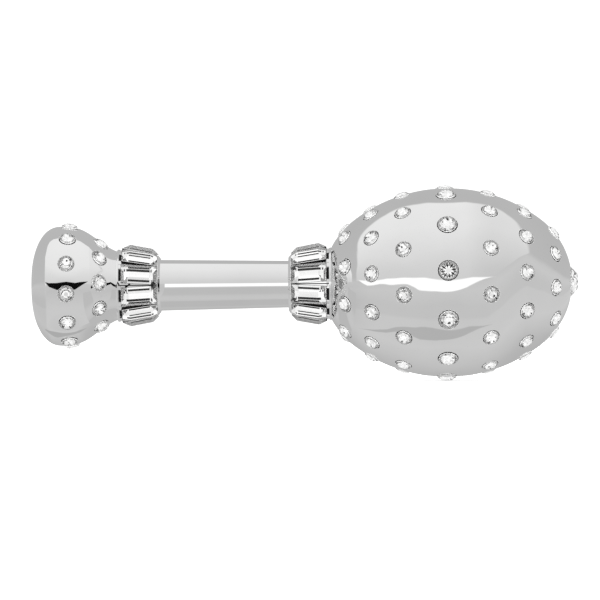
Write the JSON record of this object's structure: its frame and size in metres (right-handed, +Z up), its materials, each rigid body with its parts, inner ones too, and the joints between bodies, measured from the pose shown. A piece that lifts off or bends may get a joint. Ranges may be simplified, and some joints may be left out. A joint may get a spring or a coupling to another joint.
{
  "type": "baby rattle",
  "caption": "Silver-plated keepsake rattle: oval crystal-studded head with loose balls inside, baguette-set collars, plain tube handle and flared studded pommel.",
  "frame": {"origin": "middle of the overall length, on the long axis", "axes": "+X along the handle from the pommel to the head; +Z up as the rattle lies; -Y is the front"},
  "size_m": [0.134, 0.048, 0.048],
  "materials": {
    "silver_plate": "polished silver plate",
    "crystal": "cut crystal with a foiled back",
    "turned_brass": "turned",
    "steel_ball": "ground"
  },
  "bodies": {
    "rattle": {"head_front_shell": "silver_plate", "head_rear_shell": "silver_plate", "head_stones_row_1": "crystal", "head_stones_row_2": "crystal", "head_stones_row_3": "crystal", "head_stones_row_4": "crystal", "head_stones_row_5": "crystal", "head_stones_row_6": "crystal", "head_stones_row_7": "crystal", "head_end_stone": "crystal", "head_neck_plug": "turned_brass", "head_collar": "silver_plate", "head_collar_baguettes": "crystal", "handle_tube": "silver_plate", "pommel_collar": "silver_plate", "pommel_collar_baguettes": "crystal", "pommel_neck_plug": "turned_brass", "pommel_shell": "silver_plate", "pommel_end_cap": "silver_plate", "pommel_stones_row_1": "crystal", "pommel_stones_row_2": "crystal"},
    "rattle_ball_1": {"rattle_ball_1": "steel_ball"},
    "rattle_ball_2": {"rattle_ball_2": "steel_ball"},
    "rattle_ball_3": {"rattle_ball_3": "steel_ball"},
    "rattle_ball_4": {"rattle_ball_4": "steel_ball"},
    "rattle_ball_5": {"rattle_ball_5": "steel_ball"}
  },
  "joints": [
    {"name": "rattle_ball_1_roll", "type": "hinge", "parent": "rattle", "child": "rattle_ball_1", "pos_m": [0.03495, 0, 0], "axis": [1, 0, 0], "continuous": true},
    {"name": "rattle_ball_2_roll", "type": "hinge", "parent": "rattle", "child": "rattle_ball_2", "pos_m": [0.03495, 0, 0], "axis": [1, 0, 0], "continuous": true},
    {"name": "rattle_ball_3_roll", "type": "hinge", "parent": "rattle", "child": "rattle_ball_3", "pos_m": [0.03495, 0, 0], "axis": [1, 0, 0], "continuous": true},
    {"name": "rattle_ball_4_roll", "type": "hinge", "parent": "rattle", "child": "rattle_ball_4", "pos_m": [0.03495, 0, 0], "axis": [1, 0, 0], "continuous": true},
    {"name": "rattle_ball_5_roll", "type": "hinge", "parent": "rattle", "child": "rattle_ball_5", "pos_m": [0.03495, 0, 0], "axis": [1, 0, 0], "continuous": true}
  ]
}
